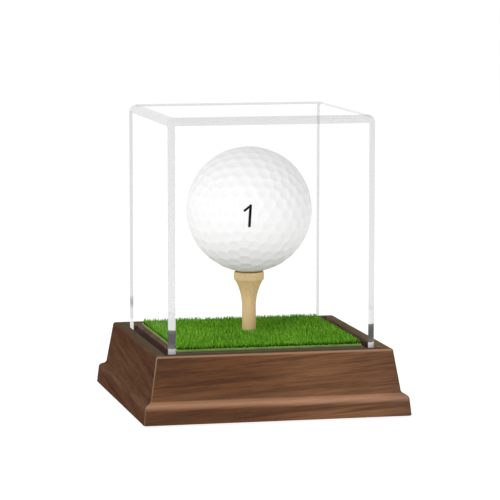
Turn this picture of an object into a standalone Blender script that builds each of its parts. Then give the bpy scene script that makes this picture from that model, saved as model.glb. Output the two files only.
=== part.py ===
"""Golf ball display case, in metres, +Z up, standing on z = 0.

Four mitred walnut mouldings hold a platform with a pad of artificial turf. A wooden tee stands in the
platform and carries a dimpled ball, and a clear cover stands in the groove around the platform.
"""

import math
from random import Random

import bmesh
import bpy
from mathutils import Vector

MM = 0.001

# Fits
FIT_GAP = 0.3 * MM  # air between pieces that rest on each other or fit in each other
OVERRUN = 2 * MM  # how far a cutter runs past what it cuts
MERGE_DISTANCE = 0.01 * MM  # points closer than this are one point

# Non-slip pads under the base
PAD_RADIUS = 5 * MM
PAD_THICKNESS = 1.5 * MM
PAD_PROUD = 0.6 * MM  # how far the pads hold the wood off the table
PAD_EDGE = 0.3 * MM
PAD_MARGIN = 2 * MM  # board left outside a pad

# Clear cover
COVER_WIDTH = 70 * MM
COVER_WALL = 2.3 * MM
COVER_INNER_RADIUS = 0.3 * MM
BALL_HEADROOM = 10.2 * MM  # from the top of the ball to the cover's roof

# Moulding, from the groove outwards and up from its underside
BASE_HEIGHT = 21.8 * MM
GROOVE_PLAY = 1.1 * MM  # between the cover's outside and the groove's outer wall
RIM_WIDTH = 3.7 * MM  # top of the moulding outside the groove
RIM_SLOPE = 2 * MM  # how far the outside spreads on its way down to the hollow
NOSE_REACH = 2.45 * MM  # how far the nose stands out under the hollow
FOOT_FLARE = 0.55 * MM  # how far the foot stands out beyond the nose
NOSE_HEIGHT = 5.35 * MM
NOSE_RADIUS = 1.65 * MM
COVE_RADIUS = 1.6 * MM
RIM_ROUND = 0.5 * MM
GROOVE_ROUND = 0.3 * MM
FOOT_ROUND = 0.3 * MM
GROOVE_DEPTH = 3.6 * MM
LEDGE_WIDTH = 4 * MM  # what the platform stands on
FOOT_WIDTH = 6 * MM  # wood outside the base panel

# Platform
PLATFORM_THICKNESS = 12 * MM
PLATFORM_PLAY = 0.4 * MM  # between the platform's edge and the cover's inside
PLATFORM_EDGE = 0.4 * MM

# Base panel and its screws
PANEL_THICKNESS = 3 * MM
PANEL_EDGE = 0.3 * MM
SCREW_MARGIN = 1.5 * MM  # board left outside a screw's head
SCREW_LENGTH = 8 * MM
SCREW_HEAD_RADIUS = 2.4 * MM
SCREW_SHANK_RADIUS = 1.2 * MM
SCREW_HEAD_LAND = 0.3 * MM
SCREW_SUNK = 0.2 * MM
SCREW_POINT = 2 * MM
SLOT_WIDTH = 0.7 * MM
SLOT_DEPTH = 0.7 * MM

# Keys across the mitres
KEY_THICKNESS = 1.6 * MM
KEY_WIDTH = 6 * MM
KEY_HEIGHT = 9 * MM
KEY_EDGE = 0.2 * MM

# Turf pad
TURF_MARGIN = 1.1 * MM  # bare strip of platform around the turf
TURF_BACKING = 0.9 * MM
BLADES_ACROSS = 20
BLADE_BASE = 1.3 * MM
BLADE_HEIGHT = 1.3 * MM
BLADE_SPREAD = 0.35 * MM  # how much the blades differ in height
BLADE_LEAN = 0.8 * MM  # most that a tip stands to one side of its root
LEAST_LEAN_SHARE = 0.4
LEAN_SWING = (2.4, 2.1)  # radians that the lean swings either way along X and along Y
LEAN_CELLS = (9, 7)  # cells in which that swing turns by one radian
TURF_SEED = 7

# Tee
TEE_LENGTH = 38.1 * MM
TEE_TIP_ROOM = 2.4 * MM  # between the tee's tip and the base panel
TEE_HEAD_RADIUS = 5.08 * MM
TEE_HEAD_BAND = 2.7 * MM
TEE_HEAD_STEP = 0.28 * MM
TEE_FLARE_LENGTH = 9.6 * MM
TEE_FLARE_POWER = 2.2  # the neck narrows quickly under the head and then ever more slowly
TEE_STEM_RADIUS = 2.35 * MM
TEE_POINT_LENGTH = 8 * MM
TEE_POINT_RADIUS = 0.5 * MM
TEE_CUP_RADIUS = 4.3 * MM
TEE_CUP_DEPTH = 1.2 * MM
TEE_EDGE = 0.25 * MM

# Ball
BALL_DIAMETER = 42.67 * MM
DIMPLE_DEPTH = 0.25 * MM
DIMPLE_RING_SHARES = (0.78, 0.42)  # widths of the rings in a dimple, as shares of the dimple
DIMPLE_ROWS = 6  # on each of the 20 triangles, which makes 10 x 6 x 6 + 2 = 362 dimples

# Heights that follow, from the table up
WOOD_BOTTOM = PAD_PROUD
PANEL_TOP = WOOD_BOTTOM + PANEL_THICKNESS
PANEL_REBATE_TOP = PANEL_TOP + FIT_GAP
SCREW_BOTTOM = WOOD_BOTTOM + SCREW_SUNK
RIM_TOP = WOOD_BOTTOM + BASE_HEIGHT
PLATFORM_TOP = RIM_TOP - FIT_GAP
PLATFORM_BOTTOM = PLATFORM_TOP - PLATFORM_THICKNESS
LEDGE_TOP = PLATFORM_BOTTOM - FIT_GAP
GROOVE_FLOOR = RIM_TOP - GROOVE_DEPTH
KEY_MIDDLE = (PANEL_REBATE_TOP + GROOVE_FLOOR) / 2
TURF_BOTTOM = PLATFORM_TOP + FIT_GAP
TURF_TOP = TURF_BOTTOM + TURF_BACKING
TEE_RIM_HEIGHT = PANEL_TOP + TEE_TIP_ROOM + TEE_LENGTH
BALL_RADIUS = BALL_DIAMETER / 2
BALL_MIDDLE = TEE_RIM_HEIGHT + FIT_GAP + math.sqrt(BALL_RADIUS**2 - TEE_CUP_RADIUS**2)
COVER_FOOT = GROOVE_FLOOR + FIT_GAP
COVER_HEIGHT = BALL_MIDDLE + BALL_RADIUS + BALL_HEADROOM + COVER_WALL - COVER_FOOT

# Distances that follow, from the middle outwards
COVER_HALF = COVER_WIDTH / 2
PLATFORM_HALF = COVER_HALF - COVER_WALL - PLATFORM_PLAY
PLATFORM_WIDTH = 2 * PLATFORM_HALF
MOULDING_INNER_HALF = PLATFORM_HALF + FIT_GAP
LEDGE_HALF = PLATFORM_HALF - LEDGE_WIDTH
TURF_HALF = PLATFORM_HALF - TURF_MARGIN
GROOVE_OUTER_HALF = COVER_HALF + GROOVE_PLAY
TOP_HALF = GROOVE_OUTER_HALF + RIM_WIDTH
NECK_HALF = TOP_HALF + RIM_SLOPE
NOSE_HALF = NECK_HALF + NOSE_REACH
BASE_HALF = NOSE_HALF + FOOT_FLARE
PANEL_REBATE_HALF = BASE_HALF - FOOT_WIDTH
PANEL_HALF = PANEL_REBATE_HALF - FIT_GAP
PANEL_WIDTH = 2 * PANEL_HALF
SCREW_OFFSET = PANEL_HALF - SCREW_MARGIN - SCREW_HEAD_RADIUS
PAD_OFFSET = PANEL_HALF - PAD_MARGIN - PAD_RADIUS
KEY_OFFSET = (MOULDING_INNER_HALF + TOP_HALF) / 2  # along X and along Y
MITRE_SETBACK = FIT_GAP / math.sqrt(2)  # each mitred end stops this far short, measured along the side

# Counts and angles
ROUND_STEPS = 24
FINE_STEPS = 16
CURVE_PIECES = 5
CORNER_PIECES = 3
FLARE_PIECES = 8
CUP_PIECES = 4
RIGHT_ANGLE = math.pi / 2
SHARP_ANGLE = math.radians(35)
HALF_WAY_PERCENT = 50

SIDES = ("right", "back", "left", "front")
CORNERS = ("back_right", "back_left", "front_left", "front_right")


def arc(centre_x, centre_z, radius, start_degrees, end_degrees, pieces):
    """Points along a circular arc in the XZ plane, both ends included."""
    points = []
    for step in range(pieces + 1):
        angle = math.radians(start_degrees + (end_degrees - start_degrees) * step / pieces)
        points.append((centre_x + radius * math.cos(angle), centre_z + radius * math.sin(angle)))
    return points


def clear_scene():
    """Removes whatever the scene holds."""
    for obj in list(bpy.data.objects):
        bpy.data.objects.remove(obj, do_unlink=True)


def new_collection(name):
    """Adds a collection to the scene."""
    collection = bpy.data.collections.new(name)
    bpy.context.scene.collection.children.link(collection)
    return collection


def new_material(name, colour, roughness, metallic=0.0, transmission=0.0):
    """A Principled material of one colour."""
    material = bpy.data.materials.new(name)
    material.use_nodes = True
    shader = material.node_tree.nodes["Principled BSDF"]
    shader.inputs["Base Color"].default_value = (*colour, 1.0)
    shader.inputs["Roughness"].default_value = roughness
    shader.inputs["Metallic"].default_value = metallic
    shader.inputs["Transmission Weight"].default_value = transmission
    material.diffuse_color = (*colour, 1.0 - 0.7 * transmission)
    return material


def add_object(name, mesh, collection, material=None, location=(0, 0, 0), turn=0.0):
    """Links a mesh as a named object, turned about Z."""
    obj = bpy.data.objects.new(name, mesh)
    obj.location = location
    obj.rotation_euler = (0, 0, turn)
    if material is not None and not mesh.materials:
        mesh.materials.append(material)
    collection.objects.link(obj)
    return obj


def add_cutter(name, mesh, location=(0, 0, 0), turn=0.0):
    """Links a mesh that only cuts others."""
    cutter = add_object(name, mesh, CUTTERS, location=location, turn=turn)
    cutter.display_type = "WIRE"
    cutter.hide_render = True
    return cutter


def cut(obj, cutter):
    """Takes the cutter's shape out of the object."""
    modifier = obj.modifiers.new("cut_" + cutter.name, "BOOLEAN")
    modifier.operation = "DIFFERENCE"
    modifier.solver = "EXACT"
    modifier.object = cutter


def add_bevel(obj, width, pieces=1):
    """Eases the object's sharp edges."""
    modifier = obj.modifiers.new("eased_edges", "BEVEL")
    modifier.width = width
    modifier.segments = pieces
    modifier.limit_method = "ANGLE"


def mesh_from(bm, name):
    """Turns a bmesh into a mesh with outward faces."""
    bmesh.ops.recalc_face_normals(bm, faces=bm.faces)
    mesh = bpy.data.meshes.new(name)
    bm.to_mesh(mesh)
    bm.free()
    return mesh


def box_mesh(name, size_x, size_y, size_z):
    """A box around the origin."""
    bm = bmesh.new()
    bmesh.ops.create_cube(bm, size=1)
    bmesh.ops.scale(bm, vec=(size_x, size_y, size_z), verts=bm.verts)
    return mesh_from(bm, name)


def turned_mesh(name, profile, steps):
    """A profile of (radius, height) points, from the top down its outside, turned about Z."""
    mesh = bpy.data.meshes.new(name)
    edges = [(i, i + 1) for i in range(len(profile) - 1)]
    mesh.from_pydata([(radius, 0, height) for radius, height in profile], edges, [])
    blank = bpy.data.objects.new(name, mesh)
    CUTTERS.objects.link(blank)
    screw = blank.modifiers.new("turned", "SCREW")
    screw.axis = "Z"
    screw.steps = steps
    screw.render_steps = steps
    screw.use_merge_vertices = True
    screw.merge_threshold = MERGE_DISTANCE
    turned = evaluated_mesh(blank, name)
    bpy.data.objects.remove(blank, do_unlink=True)
    bm = bmesh.new()
    bm.from_mesh(turned)
    bmesh.ops.remove_doubles(bm, verts=bm.verts, dist=MERGE_DISTANCE)
    bmesh.ops.recalc_face_normals(bm, faces=bm.faces)
    bm.to_mesh(turned)
    bm.free()
    turned.shade_smooth()
    turned.set_sharp_from_angle(angle=SHARP_ANGLE)
    return turned


def evaluated_mesh(obj, name):
    """The mesh that an object's modifiers make."""
    bpy.context.view_layer.update()
    graph = bpy.context.evaluated_depsgraph_get()
    mesh = bpy.data.meshes.new_from_object(obj.evaluated_get(graph))
    mesh.name = name
    return mesh


def quarter_place(index, reach, height):
    """The middle of one side: right, back, left or front."""
    angle = index * RIGHT_ANGLE
    return (reach * math.cos(angle), reach * math.sin(angle), height)


def corner_place(index, reach, height):
    """One corner: back right, back left, front left or front right."""
    angle = (index + 0.5) * RIGHT_ANGLE
    return (reach * math.sqrt(2) * math.cos(angle), reach * math.sqrt(2) * math.sin(angle), height)


def moulding_profile():
    """The moulding's cross-section as (distance from the middle, height) points, starting at its foot."""
    nose_x, nose_z = NOSE_HALF - NOSE_RADIUS, WOOD_BOTTOM + NOSE_HEIGHT
    cove_x = NECK_HALF + COVE_RADIUS
    # The hollow and the nose touch, so the line between their centres is as long as both radii.
    rise = math.sqrt((NOSE_RADIUS + COVE_RADIUS) ** 2 - (cove_x - nose_x) ** 2)
    meet = math.degrees(math.atan2(rise, cove_x - nose_x))
    outside = [(BASE_HALF - FOOT_ROUND, WOOD_BOTTOM), (BASE_HALF, WOOD_BOTTOM + FOOT_ROUND)]
    outside += arc(nose_x, nose_z, NOSE_RADIUS, 0, meet, CURVE_PIECES)
    outside += arc(cove_x, nose_z + rise, COVE_RADIUS, meet + 180, 180, CURVE_PIECES)[1:]
    outside += arc(TOP_HALF - RIM_ROUND, RIM_TOP - RIM_ROUND, RIM_ROUND, 0, 90, CORNER_PIECES)
    inner_rim = GROOVE_OUTER_HALF + GROOVE_ROUND
    inside = arc(inner_rim, RIM_TOP - GROOVE_ROUND, GROOVE_ROUND, 90, 180, CORNER_PIECES)
    inside += [
        (GROOVE_OUTER_HALF, GROOVE_FLOOR),
        (MOULDING_INNER_HALF, GROOVE_FLOOR),
        (MOULDING_INNER_HALF, LEDGE_TOP),
        (LEDGE_HALF, LEDGE_TOP),
        (LEDGE_HALF, PANEL_REBATE_TOP),
        (PANEL_REBATE_HALF, PANEL_REBATE_TOP),
        (PANEL_REBATE_HALF, WOOD_BOTTOM),
    ]
    return outside + inside


def moulding_mesh():
    """The right-hand moulding: the profile carried along Y, with both ends mitred at 45 degrees."""
    bm = bmesh.new()
    near = [bm.verts.new((x, 0, z)) for x, z in moulding_profile()]
    section = bm.faces.new(near)
    extruded = bmesh.ops.extrude_face_region(bm, geom=[section])
    far = [item for item in extruded["geom"] if isinstance(item, bmesh.types.BMVert)]
    for corner in near:
        corner.co.y = MITRE_SETBACK - corner.co.x
    for corner in far:
        corner.co.y = corner.co.x - MITRE_SETBACK
    return mesh_from(bm, "moulding_blank")


def add_mouldings():
    """Four equal mouldings, each pocketed for two keys and drilled for one screw."""
    blank = add_cutter("moulding_blank", moulding_mesh())
    play = 2 * FIT_GAP
    slot = box_mesh("key_slot", KEY_THICKNESS + play, KEY_WIDTH + play, KEY_HEIGHT + play)
    for side, name in ((-1, "key_slot_near"), (1, "key_slot_far")):
        place = (KEY_OFFSET, side * KEY_OFFSET, KEY_MIDDLE)
        cut(blank, add_cutter(name, slot, place, side * RIGHT_ANGLE / 2))
    cut(blank, add_cutter("pilot_hole", screw_hole_mesh(), (SCREW_OFFSET, 0, SCREW_BOTTOM)))
    finished = evaluated_mesh(blank, "moulding")
    finished.materials.clear()
    for index, name in enumerate(SIDES):
        add_object("moulding_" + name, finished, CASE, WALNUT, turn=index * RIGHT_ANGLE)


def add_keys():
    """A thin key across each mitre."""
    mesh = box_mesh("mitre_key", KEY_THICKNESS, KEY_WIDTH, KEY_HEIGHT)
    for index, name in enumerate(CORNERS):
        place = corner_place(index, KEY_OFFSET, KEY_MIDDLE)
        key = add_object("mitre_key_" + name, mesh, CASE, BEECH, place, (index + 0.5) * RIGHT_ANGLE)
        add_bevel(key, KEY_EDGE)


def add_platform():
    """The board inside the frame, drilled through for the tee."""
    mesh = box_mesh("platform", PLATFORM_WIDTH, PLATFORM_WIDTH, PLATFORM_THICKNESS)
    middle = PLATFORM_BOTTOM + PLATFORM_THICKNESS / 2
    platform = add_object("platform", mesh, CASE, DARK_WALNUT, (0, 0, middle))
    add_bevel(platform, PLATFORM_EDGE)
    cut(platform, tee_hole("platform_hole", PLATFORM_BOTTOM, PLATFORM_TOP))


def tee_hole(name, bottom, top):
    """A round cutter, a fit wider than the tee's stem, that runs past both heights."""
    radius = TEE_STEM_RADIUS + FIT_GAP
    mesh = turned_mesh(
        name,
        [(0, top + OVERRUN), (radius, top + OVERRUN), (radius, bottom - OVERRUN), (0, bottom - OVERRUN)],
        ROUND_STEPS,
    )
    return add_cutter(name, mesh)


def screw_profile(grow, head_overrun):
    """A countersunk screw, head down at height 0, as (radius, height) points from its tip.

    The hole for it is the same profile, grown all round and run on below the head.
    """
    head, shank = SCREW_HEAD_RADIUS + grow, SCREW_SHANK_RADIUS + grow
    land = SCREW_HEAD_LAND + grow
    return [
        (0, SCREW_LENGTH + grow),
        (shank, SCREW_LENGTH - SCREW_POINT + grow),
        (shank, land + head - shank),
        (head, land),
        (head, -head_overrun),
        (0, -head_overrun),
    ]


def screw_hole_mesh():
    """The countersink and pilot hole for a panel screw."""
    return turned_mesh("screw_hole", screw_profile(FIT_GAP, OVERRUN), FINE_STEPS)


def add_panel():
    """The board under the base, with countersinks for its screws and shallow seats for the pads."""
    mesh = box_mesh("base_panel", PANEL_WIDTH, PANEL_WIDTH, PANEL_THICKNESS)
    panel = add_object("base_panel", mesh, CASE, BOARD, (0, 0, WOOD_BOTTOM + PANEL_THICKNESS / 2))
    add_bevel(panel, PANEL_EDGE)
    hole = screw_hole_mesh()
    for index, name in enumerate(SIDES):
        cut(panel, add_cutter("countersink_" + name, hole, quarter_place(index, SCREW_OFFSET, SCREW_BOTTOM)))
    radius, top = PAD_RADIUS + FIT_GAP, PAD_THICKNESS + FIT_GAP
    seat = turned_mesh("pad_seat", [(0, top), (radius, top), (radius, 0), (0, 0)], ROUND_STEPS)
    for index, name in enumerate(CORNERS):
        cut(panel, add_cutter("pad_seat_" + name, seat, corner_place(index, PAD_OFFSET, 0)))


def add_screws():
    """Four countersunk screws with a driver slot, from below into the mouldings."""
    mesh = turned_mesh("panel_screw", screw_profile(0, 0), FINE_STEPS)
    slot = box_mesh("driver_slot", 2 * (SCREW_HEAD_RADIUS + OVERRUN), SLOT_WIDTH, 2 * SLOT_DEPTH)
    for index, name in enumerate(SIDES):
        place = quarter_place(index, SCREW_OFFSET, SCREW_BOTTOM)
        screw = add_object("panel_screw_" + name, mesh, CASE, STEEL, place)
        cut(screw, add_cutter("driver_slot_" + name, slot, place))


def add_pads():
    """Four round pads that the case stands on."""
    profile = [
        (0, PAD_THICKNESS),
        (PAD_RADIUS, PAD_THICKNESS),
        (PAD_RADIUS, PAD_EDGE),
        (PAD_RADIUS - PAD_EDGE, 0),
        (0, 0),
    ]
    mesh = turned_mesh("pad", profile, ROUND_STEPS)
    for index, name in enumerate(CORNERS):
        add_object("pad_" + name, mesh, CASE, RUBBER, corner_place(index, PAD_OFFSET, 0))


def add_turf():
    """The turf pad: a backing whose top is a grid of cells, each with one pointed, leaning blade."""
    rng = Random(TURF_SEED)
    cell = 2 * TURF_HALF / BLADES_ACROSS
    bm = bmesh.new()
    bmesh.ops.create_grid(bm, x_segments=BLADES_ACROSS, y_segments=BLADES_ACROSS, size=TURF_HALF)
    # The four cells around the tee carry no blade.
    cells = [face for face in bm.faces if face.calc_center_median().length > cell]
    bmesh.ops.inset_individual(bm, faces=cells, thickness=(cell - BLADE_BASE) / 2)
    tips = bmesh.ops.poke(bm, faces=cells)["verts"]
    for tip in tips:
        # The lean turns slowly over the pad, so neighbouring blades lie side by side.
        along_x, along_y = tip.co.x / (LEAN_CELLS[0] * cell), tip.co.y / (LEAN_CELLS[1] * cell)
        heading = LEAN_SWING[0] * math.sin(along_x) + LEAN_SWING[1] * math.cos(along_y)
        reach = BLADE_LEAN * rng.uniform(LEAST_LEAN_SHARE, 1)
        height = BLADE_HEIGHT + BLADE_SPREAD * rng.uniform(-1, 1)
        tip.co += Vector((reach * math.cos(heading), reach * math.sin(heading), height))
    rim = [edge for edge in bm.edges if edge.is_boundary]
    skirt = bmesh.ops.extrude_edge_only(bm, edges=rim)["geom"]
    lower = [item for item in skirt if isinstance(item, bmesh.types.BMVert)]
    bmesh.ops.translate(bm, verts=lower, vec=(0, 0, -TURF_BACKING))
    bmesh.ops.contextual_create(bm, geom=[edge for edge in bm.edges if edge.is_boundary])
    turf = add_object("turf", mesh_from(bm, "turf"), CASE, GRASS, (0, 0, TURF_TOP))
    cut(turf, tee_hole("turf_hole", TURF_BOTTOM, TURF_TOP))


def tee_profile():
    """The tee from the middle of its cup, over the rim, down the flared neck and stem to its point."""
    # The cup is a shallow spherical dish.
    dish_radius = (TEE_CUP_RADIUS**2 + TEE_CUP_DEPTH**2) / (2 * TEE_CUP_DEPTH)
    opening = math.degrees(math.asin(TEE_CUP_RADIUS / dish_radius))
    points = arc(0, dish_radius - TEE_CUP_DEPTH, dish_radius, -90, opening - 90, CUP_PIECES)
    points[0] = (0, -TEE_CUP_DEPTH)
    points += [(TEE_HEAD_RADIUS - TEE_EDGE, 0), (TEE_HEAD_RADIUS, -TEE_EDGE)]
    points += [(TEE_HEAD_RADIUS, -TEE_HEAD_BAND), (TEE_HEAD_RADIUS - TEE_HEAD_STEP, -TEE_HEAD_BAND)]
    flare = TEE_HEAD_RADIUS - TEE_HEAD_STEP - TEE_STEM_RADIUS
    for step in range(1, FLARE_PIECES + 1):
        share = step / FLARE_PIECES
        radius = TEE_STEM_RADIUS + flare * (1 - share) ** TEE_FLARE_POWER
        points.append((radius, -TEE_HEAD_BAND - share * TEE_FLARE_LENGTH))
    points.append((TEE_STEM_RADIUS, TEE_POINT_LENGTH - TEE_LENGTH))
    points += [(TEE_POINT_RADIUS, -TEE_LENGTH), (0, -TEE_LENGTH)]
    return points


def add_tee():
    """The tee, with its origin on its own axis at its rim."""
    mesh = turned_mesh("tee", tee_profile(), ROUND_STEPS)
    add_object("tee", mesh, CASE, BEECH, (0, 0, TEE_RIM_HEIGHT))


def add_ball():
    """The ball: an icosahedron's faces divided evenly and blown out to a sphere, a dimple at each vertex.

    Cutting every vertex off at the middle of its edges leaves a six-sided dimple at each vertex (five-sided
    at the twelve corners) and a small triangle of land between three dimples.
    """
    bm = bmesh.new()
    bmesh.ops.create_icosphere(bm, subdivisions=1, radius=BALL_RADIUS)
    bmesh.ops.subdivide_edges(bm, edges=bm.edges, cuts=DIMPLE_ROWS - 1, use_grid_fill=True)
    for vert in bm.verts:
        vert.co = vert.co.normalized() * BALL_RADIUS
    bmesh.ops.bevel(bm, geom=bm.verts, offset=HALF_WAY_PERCENT, offset_type="PERCENT", affect="VERTICES")
    bmesh.ops.remove_doubles(bm, verts=bm.verts, dist=MERGE_DISTANCE)
    dimples = [face for face in bm.faces if len(face.verts) > 3]
    for vert in bm.verts:
        vert.co = vert.co.normalized() * BALL_RADIUS
    middles = [face.calc_center_median() for face in dimples]
    rims = [[vert.co.copy() for vert in face.verts] for face in dimples]
    for share in DIMPLE_RING_SHARES:
        bmesh.ops.inset_individual(bm, faces=dimples, thickness=0)
        for face, middle, rim in zip(dimples, middles, rims):
            # A dimple is a shallow dish, so each ring is deeper by how far it has come in, squared.
            radius = BALL_RADIUS - DIMPLE_DEPTH * (1 - share**2)
            for vert, edge in zip(face.verts, rim):
                vert.co = middle.lerp(edge, share).normalized() * radius
    mesh = mesh_from(bm, "golf_ball")
    mesh.shade_smooth()
    add_object("golf_ball", mesh, CASE, WHITE, (0, 0, BALL_MIDDLE))


def add_cover():
    """The clear cover: a box without a floor, rounded outside, given its wall inwards."""
    bm = bmesh.new()
    bmesh.ops.create_cube(bm, size=1)
    floor = [face for face in bm.faces if face.calc_center_median().z < 0]
    bmesh.ops.delete(bm, geom=floor, context="FACES_ONLY")
    bmesh.ops.scale(bm, vec=(COVER_WIDTH, COVER_WIDTH, COVER_HEIGHT), verts=bm.verts)
    bmesh.ops.translate(bm, vec=(0, 0, COVER_HEIGHT / 2), verts=bm.verts)
    cover = add_object("acrylic_cover", mesh_from(bm, "acrylic_cover"), CASE, ACRYLIC, (0, 0, COVER_FOOT))
    add_bevel(cover, COVER_WALL + COVER_INNER_RADIUS, CORNER_PIECES)
    wall = cover.modifiers.new("wall", "SOLIDIFY")
    wall.thickness = COVER_WALL
    wall.offset = -1
    wall.use_even_offset = True


clear_scene()
CASE = new_collection("golf_ball_display_case")
CUTTERS = new_collection("cutters")

WALNUT = new_material("walnut", (0.15, 0.065, 0.03), 0.45)
DARK_WALNUT = new_material("dark_walnut", (0.10, 0.045, 0.022), 0.5)
BEECH = new_material("beech", (0.75, 0.52, 0.27), 0.55)
BOARD = new_material("base_board", (0.09, 0.06, 0.04), 0.8)
STEEL = new_material("steel", (0.62, 0.6, 0.56), 0.35, metallic=1.0)
RUBBER = new_material("pad_rubber", (0.03, 0.03, 0.03), 0.85)
GRASS = new_material("turf_green", (0.06, 0.21, 0.015), 0.8)
WHITE = new_material("ball_white", (0.9, 0.9, 0.9), 0.3)
ACRYLIC = new_material("clear_acrylic", (0.97, 0.98, 0.98), 0.02, transmission=1.0)

add_mouldings()
add_keys()
add_platform()
add_panel()
add_screws()
add_pads()
add_turf()
add_tee()
add_ball()
add_cover()
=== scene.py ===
"""Looks of the golf ball display case: walnut mouldings, turf, tee, dimpled ball and clear cover.

Lengths are in metres and +Z is up. The case stands on the floor at z = 0, with its front towards -Y.
"""

import math

import bmesh
import bpy
import numpy as np
from mathutils import Matrix, Vector


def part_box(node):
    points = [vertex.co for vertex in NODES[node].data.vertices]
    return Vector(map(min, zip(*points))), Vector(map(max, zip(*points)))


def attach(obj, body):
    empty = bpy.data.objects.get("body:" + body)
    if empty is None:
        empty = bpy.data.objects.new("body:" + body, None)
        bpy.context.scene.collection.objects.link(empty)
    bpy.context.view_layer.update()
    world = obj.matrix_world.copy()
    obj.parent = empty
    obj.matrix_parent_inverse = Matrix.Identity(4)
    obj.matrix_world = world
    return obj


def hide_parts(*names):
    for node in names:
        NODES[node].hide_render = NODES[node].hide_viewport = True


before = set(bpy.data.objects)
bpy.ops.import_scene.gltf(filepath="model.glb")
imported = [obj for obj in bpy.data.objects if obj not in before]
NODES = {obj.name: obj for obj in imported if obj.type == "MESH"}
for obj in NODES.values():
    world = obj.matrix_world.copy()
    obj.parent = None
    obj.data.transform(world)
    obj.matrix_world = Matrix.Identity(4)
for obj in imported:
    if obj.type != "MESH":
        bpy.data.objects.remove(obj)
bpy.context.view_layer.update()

MM = 0.001
RIGHT_ANGLE = math.pi / 2
WELD = 0.0005 * MM
SQUARE = np.array([(1, 1), (-1, 1), (-1, -1), (1, -1)])

# Places that the frame gives
BASE_LOW, BASE_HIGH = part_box("moulding_right")
COVER_LOW, COVER_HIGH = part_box("acrylic_cover")
TURF_LOW, TURF_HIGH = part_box("turf")
TEE_LOW, TEE_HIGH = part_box("tee")
BALL_LOW, BALL_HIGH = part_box("golf_ball")
PLATFORM_LOW, PLATFORM_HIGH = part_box("platform")

BASE_HALF = BASE_HIGH.x
WOOD_BOTTOM = BASE_LOW.z
RIM_TOP = BASE_HIGH.z
COVER_HALF = COVER_HIGH.x
COVER_FOOT = COVER_LOW.z
COVER_TOP = COVER_HIGH.z
BALL_MIDDLE = (BALL_LOW.z + BALL_HIGH.z) / 2
BALL_RADIUS = (BALL_HIGH.z - BALL_LOW.z) / 2
PLATFORM_HALF = PLATFORM_HIGH.x

# Moulding
RIM_WIDTH = 3.7 * MM
GROOVE_PLAY = 1.1 * MM
GROOVE_OUTER_HALF = COVER_HALF + GROOVE_PLAY
RIM_SLOPE = 2 * MM
NOSE_REACH = 2.45 * MM
NOSE_HEIGHT = 5.35 * MM
NOSE_RADIUS = 1.65 * MM
COVE_RADIUS = 1.6 * MM
RIM_ROUND = 0.85 * MM
GROOVE_ROUND = 0.25 * MM
FOOT_ROUND = 0.3 * MM
GROOVE_DEPTH = 3.6 * MM
WOOD_GAP = 0.3 * MM
LEDGE_WIDTH = 4 * MM
FOOT_WIDTH = 6 * MM
PANEL_TOP = 3.9 * MM
MITRE_GAP = 0.03 * MM
MITRE_EASE = 0.22 * MM
MITRE_EASE_LENGTH = 1.6 * MITRE_EASE
EASED_WITHIN = MITRE_GAP + 0.9 * MITRE_EASE

# Turf
BACKING_TOP = 0.5 * MM
MAT_REST = 0.02 * MM
BACKING_ROUND = 0.2 * MM
SHORT_BLADES_ACROSS = 96
TALL_BLADES_ACROSS = 74
FRINGE_BLADES = 520
FRINGE_DEPTH = 1.2 * MM
FRINGE_PAINTED_SHADE = 0.3
COLLAR_BLADES = 80
COLLAR_GAPS = (0.34 * MM, 0.6 * MM)
COLLAR_LEAN = 0.3
COLLAR_HEIGHT_SHARES = (0.93, 1.0)
BLADE_INSET = 0.4 * MM
BLADE_WIDTH = 0.34 * MM
BLADE_THICKNESS = 0.14 * MM
SHORT_HEIGHTS = (0.6 * MM, 1.35 * MM)
TALL_HEIGHTS = (1.4 * MM, 2.05 * MM)
BLADE_TALLEST = TALL_HEIGHTS[1]
BLADE_LEAN = 0.8 * MM
BLADE_SINK = 0.1 * MM
BLADE_BEND = 0.6  # share of the height at which a blade bends
BLADE_BEND_WIDTH = 0.85
BLADE_CURVE = 1.7
WIDTH_SHARES = (0.7, 1.25)
LEAN_SHARES = (0.1, 1.0)
TUFT_SHADE = 0.14
HEIGHT_SHADE = 0.30
OWN_SHADE = 0.55
TURF_SEED = 11

# Tee
TEE_HEAD_RADIUS = 5.08 * MM
TEE_HEAD_BAND = 2.7 * MM
TEE_HEAD_STEP = 0.28 * MM
TEE_FLARE_LENGTH = 9.6 * MM
TEE_FLARE_POWER = 2.2
TEE_STEM_RADIUS = 2.35 * MM
TEE_POINT_LENGTH = 8 * MM
TEE_POINT_RADIUS = 0.5 * MM
TEE_CUP_RADIUS = 4.3 * MM
TEE_CUP_DEPTH = 1.2 * MM
TEE_EDGE = 0.25 * MM
TEE_STEPS = 96

# Ball
DIMPLE_ROWS = 6
DIMPLE_RADIUS = 1.93 * MM
DIMPLE_DEPTH = 0.32 * MM
DIMPLE_EDGE_SHARE = 0.09
DIMPLE_REACH = 1.6  # dimple radii, beyond which the land is left as it is
DIMPLE_TRIM = 0.004
BALL_ROWS = 84
NUMERAL_STROKES = (  # ends across and up from the middle of the ball's front, and the stroke's half width
    ((0.15 * MM, -3.4 * MM), (0.55 * MM, 3.4 * MM), 0.46 * MM),
    ((0.55 * MM, 3.4 * MM), (-1.45 * MM, 1.75 * MM), 0.38 * MM),
)
NUMERAL_BLUR = 0.04 * MM

# Cover. The shares are of a face's direction that lies along one axis.
COVER_WALL = 2.3 * MM
COVER_INNER_RADIUS = 0.3 * MM
COVER_CORNER_STEPS = 12
FLAT_SHARE = 0.9999
FRONT_LEFT_CLEAR = 0.86
BACK_LEFT_SHOWN = 0.4
BACK_RIGHT_SHOWN = 0.93
FRONT_AND_BACK_SHOWN = 0.64
SIDES_SHOWN = 0.45
CORNER_SHOWN = 0.4
TURNED = 0.01

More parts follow.
